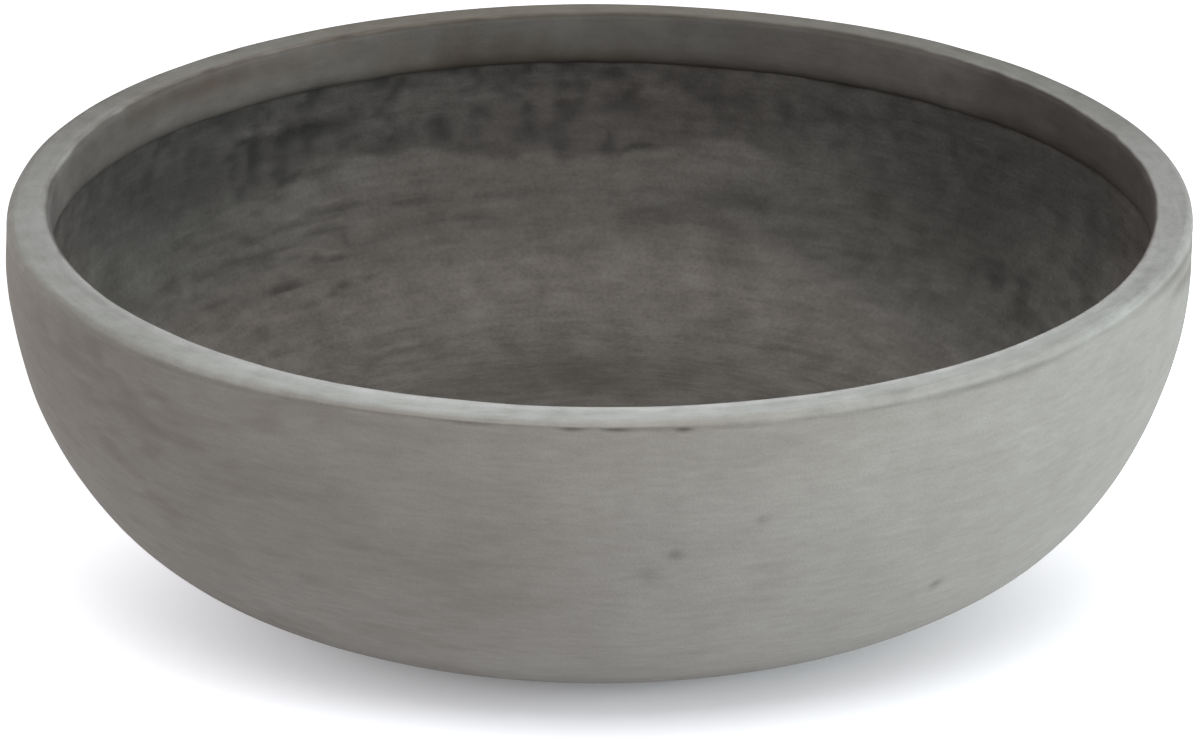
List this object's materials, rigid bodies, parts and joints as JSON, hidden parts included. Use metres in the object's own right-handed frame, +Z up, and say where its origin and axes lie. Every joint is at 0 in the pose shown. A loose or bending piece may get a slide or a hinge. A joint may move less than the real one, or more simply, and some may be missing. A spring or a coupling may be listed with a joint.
{
  "type": "bowl planter",
  "caption": "Shallow round resin bowl planter with a flat base, curved wall, bonded lip with inner collar, rough lined inside and a plugged drain.",
  "frame": {"origin": "on the floor, on the bowl's axis, at the centre of the plane of the four foot pads", "axes": "+Z up along the bowl's axis, -Y towards the viewer of the picture, +X to the viewer's right"},
  "size_m": [0.5999, 0.6, 0.1825],
  "materials": {
    "moulded_resin": "stone-filled resin, brushed by hand, matte",
    "rim_resin": "stone-filled resin, rubbed smooth, matte",
    "laid_laminate": "hand-laid glass fibre and resin, trowelled, matte",
    "sleeve_plastic": "moulded plastic",
    "plug_rubber": "moulded rubber",
    "pad_rubber": "moulded rubber"
  },
  "bodies": {
    "bowl": {"bowl_shell": "moulded_resin", "rim_ring": "rim_resin", "fibre_lining": "laid_laminate", "drain_sleeve": "sleeve_plastic", "foot_pad_1": "pad_rubber", "foot_pad_2": "pad_rubber", "foot_pad_3": "pad_rubber", "foot_pad_4": "pad_rubber"},
    "plug": {"drain_plug": "plug_rubber"}
  },
  "joints": [
    {"name": "plug_lift", "type": "slide", "parent": "bowl", "child": "plug", "axis": [0, 0, 1], "range_m": [0, 0.25]}
  ]
}
